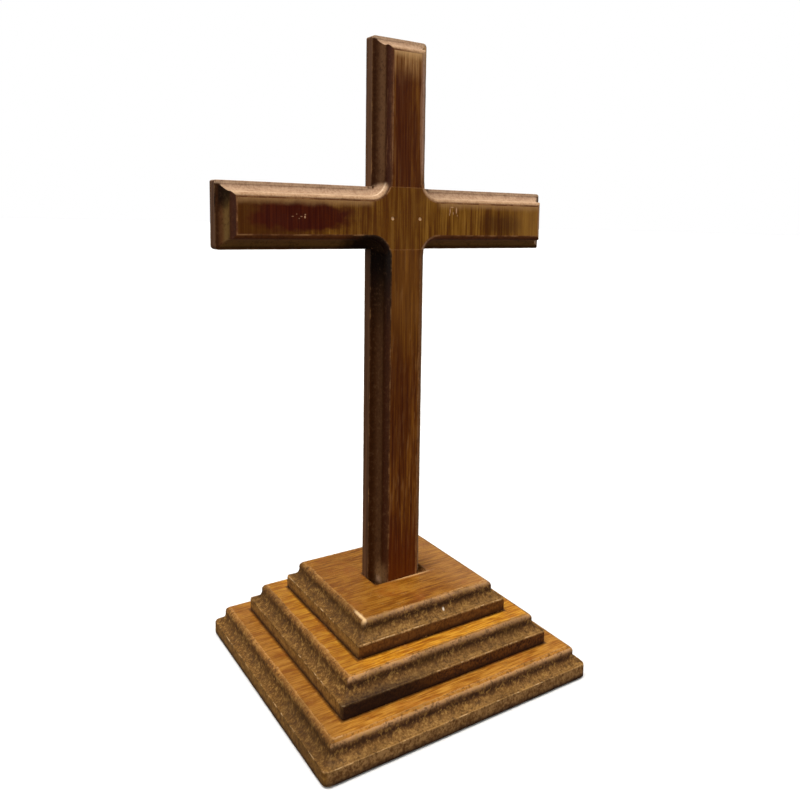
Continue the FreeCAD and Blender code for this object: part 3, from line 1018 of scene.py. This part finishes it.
def bar_spots(wood, face, moulding, grain):
    """A dark red pool on the left arm, olive gold elsewhere, and a few pale nicks. On the
    moulding, painted shade at the left end's top, and painted light where it faces right.
    """
    edge = wood.noise((0.12, 0.12, 0.16), 4, 0.65, 6.0)
    gold = wood.ramp(wood.fit(grain, 0.40, 0.60), [
        (0, 92, 48, 6), (0.5, 124, 79, 16), (1, 156, 110, 42),
    ])
    pool = wood.mix(wood.fit(grain, 0.42, 0.62), (60, 10, 3), (84, 28, 5))
    face = wood.patch(wood.mix(0.85, face, gold), edge, [
        ((-4, FRONT, CROSSING), (16, 40, 40), 0.5, 0.45, (88, 40, 4)),
        ((-100, FRONT, CROSSING), (40, 40, 40), 0.4, 0.85, (76, 36, 3)),
        ((-34, FRONT, CROSSING - 1), (14, 40, 12), 0.6, 0.45, (80, 38, 8)),
        ((104, FRONT, CROSSING), (18, 40, 30), 0.5, 0.5, (164, 116, 50)),
        ((-68, FRONT, CROSSING + 0.5), (31, 40, 9), 0.25, 0.96, pool),
        ((72, FRONT, CROSSING - 3), (15, 40, 7), 0.6, 0.65, (66, 30, 5)),
    ])
    ragged = wood.plus(wood.above_crossing(), wood.times(edge, 4.0))
    arms = wood.fit(wood.size(wood.axis(0)), HALF_WIDTH + 2, HALF_WIDTH + 8)
    dust = wood.times(wood.fit(ragged, 7.4, 12.6), arms)
    face = wood.tint(face, dust, 0.8, (176, 132, 84))
    for x, z, wide, tall, share in NICKS:
        nick = wood.spot((x, FRONT, CROSSING + z), (wide, 4, tall), 0.4, edge)
        face = wood.tint(face, nick, share, (212, 164, 124))
    end = wood.ramp(wood.mark, [
        (0, 84, 40, 14), (0.09, 60, 26, 9), (0.32, 62, 30, 12), (0.44, 96, 70, 36),
        (0.62, 104, 78, 42), (0.76, 86, 52, 26), (0.92, 70, 40, 19), (1, 90, 64, 40),
    ])
    at_end = wood.facing(0, -0.15, -0.4)
    moulding = wood.mix(at_end, moulding, end)
    shaded = wood.spot((-HALF_SPAN, FRONT + 9, CROSSING + 14), (9, 8, 11), 0.4, edge)
    moulding = wood.tint(moulding, wood.times(shaded, at_end), 0.92, (16, 6, 2))
    # Painted light: moulding that faces right is painted pale, over the shade in its deep
    # cove.
    moulding = wood.mix(wood.facing(0, 0.15, 0.4, 0.0, 0.9), moulding, (190, 156, 124))
    # Painted light on the rounding that faces right.
    rounding = wood.fit(wood.mark, 0.26, 0.32, 1.0, 0.0)
    right = wood.times(wood.facing(0, 0.0, 0.2), rounding)
    moulding = wood.tint(moulding, right, 0.85, (178, 136, 98))
    return joint_lines(wood, face), moulding


def steel_material():
    tree = Paint("screw_steel")
    brushed = tree.noise((2.0, 2.0, 0.4), 4, 0.6)
    colour = tree.mix(brushed, (120, 116, 108), (182, 178, 168))
    tree.give("Base Color", colour)
    tree.give("Metallic", 1.0)
    tree.give("Roughness", tree.fit(brushed, 0.3, 0.7, 0.3, 0.5))
    tree.give("Normal", tree.bump(brushed, 0.02))
    return tree.material


def filler_material():
    """The brads: pale stopping over the sunk heads, and steel behind it."""
    tree = Paint("brad_filler")
    crumb = tree.noise(2.5, 4, 0.6)
    putty = tree.mix(crumb, (190, 138, 88), (236, 196, 150))
    behind = tree.fit(tree.axis(1), FRONT + 0.9, FRONT + 1.1)
    tree.give("Base Color", tree.mix(behind, putty, (150, 146, 138)))
    tree.give("Metallic", behind)
    tree.give("Roughness", 0.6)
    tree.give("Normal", tree.bump(crumb, 0.1))
    return tree.material


def felt_material():
    tree = Paint("green_felt")
    fluff = tree.noise(1.0, 6, 0.75)
    hair = tree.noise((3.0, 0.8, 3.0), 3, 0.6, 3.0, 1.5)
    colour = tree.mix(tree.fit(fluff, 0.35, 0.65), (28, 52, 34), (52, 84, 56))
    colour = tree.mix(tree.fit(hair, 0.55, 0.7, 0, 0.5), colour, (84, 112, 84))
    tree.give("Base Color", colour)
    tree.give("Roughness", 0.95)
    tree.give("Sheen Weight", 0.4)
    tree.give("Normal", tree.bump(hair, 0.15))
    return tree.material


# ---- scene


def build_cross():
    """The post and the crossbar, drilled for the brads."""
    head_hole = (BRADS_HIGH[2] - CROSSING + HOLE_ROOM, FRONT - 1, BRADS_LOW[1] + BRAD_HEAD)
    shank_hole = (BRAD_SHANK_RADIUS + HOLE_ROOM, BRADS_LOW[1], BRADS_HIGH[1] + HOLE_ROOM)
    post = wooden_piece(
        "post", post_shell(), CROSS_WEAR, 3,
        corners=[(HALF_WIDTH, POST_HIGH[2], 3.0), (-HALF_WIDTH, POST_HIGH[2], 2.0)],
        holes=[shank_hole],
    )
    bar = wooden_piece(
        "crossbar", crossbar_shell(), CROSS_WEAR, 11,
        corners=[
            (HALF_SPAN, BAR_HIGH[2], 2.4), (HALF_SPAN, BAR_LOW[2], 1.6),
            (-HALF_SPAN, BAR_HIGH[2], 1.2), (-HALF_SPAN, BAR_LOW[2], 2.2),
        ],
        holes=[head_hole, shank_hole],
    )
    post.data.materials.append(cross_material("post_varnish", 3.0, post_spots, 0.35))
    bar.data.materials.append(cross_material("crossbar_varnish", 3.0, bar_spots, 0.65))


def build_base():
    """The three steps. Returns the bottom one."""
    steps = []
    for count, (node, above, corner, depth, seed) in enumerate(STEPS):
        covered = above and box_mm(above)[1][0]
        foot = (covered, covered, 0.0) if above else POST_FOOT
        step = wooden_piece(node, step_shell(node, corner, covered), depth, seed)
        look_seed = 12.0 + 13 * count
        level = box_mm(node)[0][2]
        look = base_material(node + "_varnish", look_seed, level, foot, **STEP_LOOKS[node])
        step.data.materials.append(look)
        steps.append(step)
    return steps[0]


def felt_sheet(step):
    """The felt under the bottom step: a laid sheet with a soft, slightly uneven cut edge."""
    low, high = box_mm("base_felt")
    half, floor, top = high[0], low[2], high[2]
    count = round(2 * half / 1.5)
    shares = (0.2, 0.5, 0.8, 0.95)
    thick = top - floor
    outline = [(half * share, floor) for share in shares]
    outline += [
        (half - 0.3, floor), (half - 0.08, floor + 0.2 * thick), (half, floor + 0.5 * thick),
        (half - 0.08, floor + 0.8 * thick), (half - 0.3, top),
    ]
    outline += [(half * share, top) for share in reversed(shares)]
    rings = []
    for ring_half, height in outline:
        ring = square_ring(ring_half, ring_half, 1.5, count)
        if ring_half > half - 1:
            nibble = [0.25 * abs(noise.noise(Vector((x, y, 7)) / 4)) for x, y in ring]
            ring = ring * (1 - np.array(nibble) / half)[:, None]
        rings.append(np.column_stack([ring, np.full(len(ring), height)]))
    shell = Shell()
    shell.grid(np.array(rings), SIDE_MARK, 0.0, closed=True)
    close_ring(shell, rings[0])
    close_ring(shell, rings[-1])
    sheet = stand_in("base_felt_sheet", shell.mesh("base_felt_sheet"), "base_felt")
    sheet.data.materials.append(felt_material())


def dress_fasteners():
    """New materials on the CAD model's own screws and brads."""
    steel = steel_material()
    screws = ("post_screw", "lower_step_screws", "upper_step_screws")
    looks = {node: steel for node in screws} | {"lap_brads": filler_material()}
    for node, material in looks.items():
        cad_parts[node].data.materials.clear()
        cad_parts[node].data.materials.append(material)


def stage_mesh(name, data, looks, hidden_from):
    """A mesh that isn't part of the object, and that some kinds of ray pass through."""
    tree = Paint(name + "_paint")
    for label, value in looks.items():
        tree.give(label, value)
    data.materials.append(tree.material)
    stage = add_object(name, data)
    for rays in hidden_from:
        setattr(stage, "visible_" + rays, False)


def add_floor():
    """A wide pale floor. It takes the cross's shadow, and throws no light back up."""
    size = 20.0
    data = bpy.data.meshes.new("floor")
    corners = [(-size, -size, 0), (size, -size, 0), (size, size, 0), (-size, size, 0)]
    data.from_pydata(corners, [], [(0, 1, 2, 3)])
    looks = {"Base Color": FLOOR_COLOUR, "Roughness": 0.9, "Specular IOR Level": 0.1}
    stage_mesh("floor", data, looks, ("diffuse", "glossy"))


def add_backdrop():
    """A pale shell round everything that only the camera sees."""
    work = bmesh.new()
    bmesh.ops.create_uvsphere(work, u_segments=48, v_segments=24, radius=19.0)
    data = bpy.data.meshes.new("backdrop")
    work.to_mesh(data)
    work.free()
    looks = {
        "Base Color": (0, 0, 0, 1), "Specular IOR Level": 0.0,
        "Emission Color": BACKDROP_COLOUR, "Emission Strength": 1.0,
    }
    stage_mesh("backdrop", data, looks, ("diffuse", "glossy", "shadow"))


def add_camera():
    """The camera, low in front of the cross and to its left."""
    camera = add_object("camera", bpy.data.cameras.new("camera"))
    yaw, down, roll = (math.radians(angle) for angle in CAMERA_TURN)
    turn = Matrix.Rotation(-yaw, 4, "Z") @ Matrix.Rotation(math.pi / 2 - down, 4, "X")
    turn @= Matrix.Rotation(roll, 4, "Z")
    camera.matrix_world = Matrix.Translation(CAMERA_PLACE) @ turn
    camera.data.sensor_width = 36
    camera.data.lens = 34.94
    camera.data.shift_x = -0.0852
    camera.data.shift_y = -0.1181
    camera.data.clip_start = 0.01
    bpy.context.scene.camera = camera


def add_sun(name, place, power, softness, colour):
    """A soft light from a direction, the same all over the floor."""
    light = bpy.data.lights.new(name, "SUN")
    light.energy = power
    light.angle = math.radians(softness)
    light.color = colour
    lamp = add_object(name, light)
    lamp.location = place
    lamp.rotation_euler = (-Vector(place)).to_track_quat("-Z", "Y").to_euler()


def add_world():
    """Soft light from all round: brightest overhead, faint from below."""
    world = bpy.data.worlds.new("studio")
    tree = Tree(world, "Background")
    up = tree.axis(2, tree.coordinates["Generated"])
    height = tree.add("MapRange", {"Value": up, "From Min": -1})["Result"]
    tree.give("Color", tree.ramp(height, [(place, *[level] * 3, 1) for place, level in SKY]))
    bpy.context.scene.world = world


# Metres, and degrees of yaw, dip and roll.
CAMERA_PLACE = (-0.2450, -0.42506, 0.29138)
CAMERA_TURN = (35.26, 6.555, 1.331)
FLOOR_COLOUR = (0.80, 0.79, 0.78, 1)
BACKDROP_COLOUR = (1.0, 1.0, 1.0, 1)
# The sky's brightness by height, from straight down at 0 to straight up at 1.
SKY = ((0.0, 0.16), (0.46, 0.10), (0.56, 0.14), (0.75, 0.38), (1.0, 0.9))
SUNS = (
    ("overhead", (-0.25, -0.15, 1.0), 3.0, 50, (1.0, 0.985, 0.96)),
    ("left", (-1.0, -0.25, 0.45), 0.7, 60, (1.0, 0.97, 0.93)),
    ("front", (-0.4, -1.0, 0.45), 0.5, 60, (1.0, 0.96, 0.90)),
    ("right", (1.0, -0.3, 0.5), 0.4, 60, (1.0, 0.97, 0.95)),
    ("back", (-0.9, 0.9, 0.45), 0.5, 60, (1.0, 0.97, 0.93)),
)
CROSS_WEAR = 0.14
POST_FOOT = (HALF_WIDTH, THICKNESS / 2, FRONT + THICKNESS / 2)
# Each step, the step on it, its corners' radius, and its wear's depth and seed.
STEPS = (
    ("bottom_step", "middle_step", 4.0, 0.26, 21),
    ("middle_step", "top_step", 1.5, 0.16, 31),
    ("top_step", None, 1.0, 0.14, 41),
)
# The middle and top steps' dark side tones are stain and painted shade together.
STEP_LOOKS = {
    "bottom_step": dict(
        flat=((120, 67, 15), (152, 98, 29), (178, 124, 48)),
        side=((92, 58, 25), (154, 114, 68)),
        west=0.42, east=0.0, grime=0.0, lag=0.16,
        patches=[((-87, -62, 13), (8, 30, 8), 0.6, 0.50, (52, 32, 6))],
    ),
    "middle_step": dict(
        flat=((136, 76, 10), (171, 110, 22), (198, 141, 44)),
        side=((46, 18, 3), (98, 57, 19)),
        west=0.45, east=0.0, grime=0.08, lag=0.08,
        # Painted shadow: a dark band low along the left part of the front side.
        patches=[((-52, -71.5, 25), (36, 5, 6.5), 0.6, 0.85, (26, 9, 3))],
    ),
    "top_step": dict(
        flat=((104, 56, 6), (132, 80, 16), (154, 104, 34)),
        side=((76, 42, 10), (108, 66, 24)),
        west=0.25, east=0.16, grime=0.06, lag=0.0,
        patches=[
            ((-44.4, -40, 57.3), (0.9, 7, 1.2), 0.6, 0.75, (226, 190, 138)),
            ((-45, -45, 55.5), (1.2, 1.2, 3), 0.6, 0.6, (206, 168, 118)),
            ((8.5, -48, 50.5), (0.7, 2, 0.9), 0.6, 0.9, (240, 226, 206)),
            # Painted highlight along the mortise's front edge.
            ((7, FRONT - 1.0, BASE_TOP), (13, 1.2, 1.5), 0.6, 0.6, (220, 172, 114)),
            # Painted light in the shaded right mouth of the mortise.
            ((HALF_WIDTH, FRONT + 2, BASE_TOP - 5), (3, 5, 4), 0.6, 0.85, (214, 150, 92)),
        ],
    ),
}

build_cross()
felt_sheet(build_base())
dress_fasteners()
add_floor()
add_backdrop()
add_camera()
add_world()
for sun in SUNS:
    add_sun(*sun)
bpy.context.scene.view_settings.view_transform = "Standard"
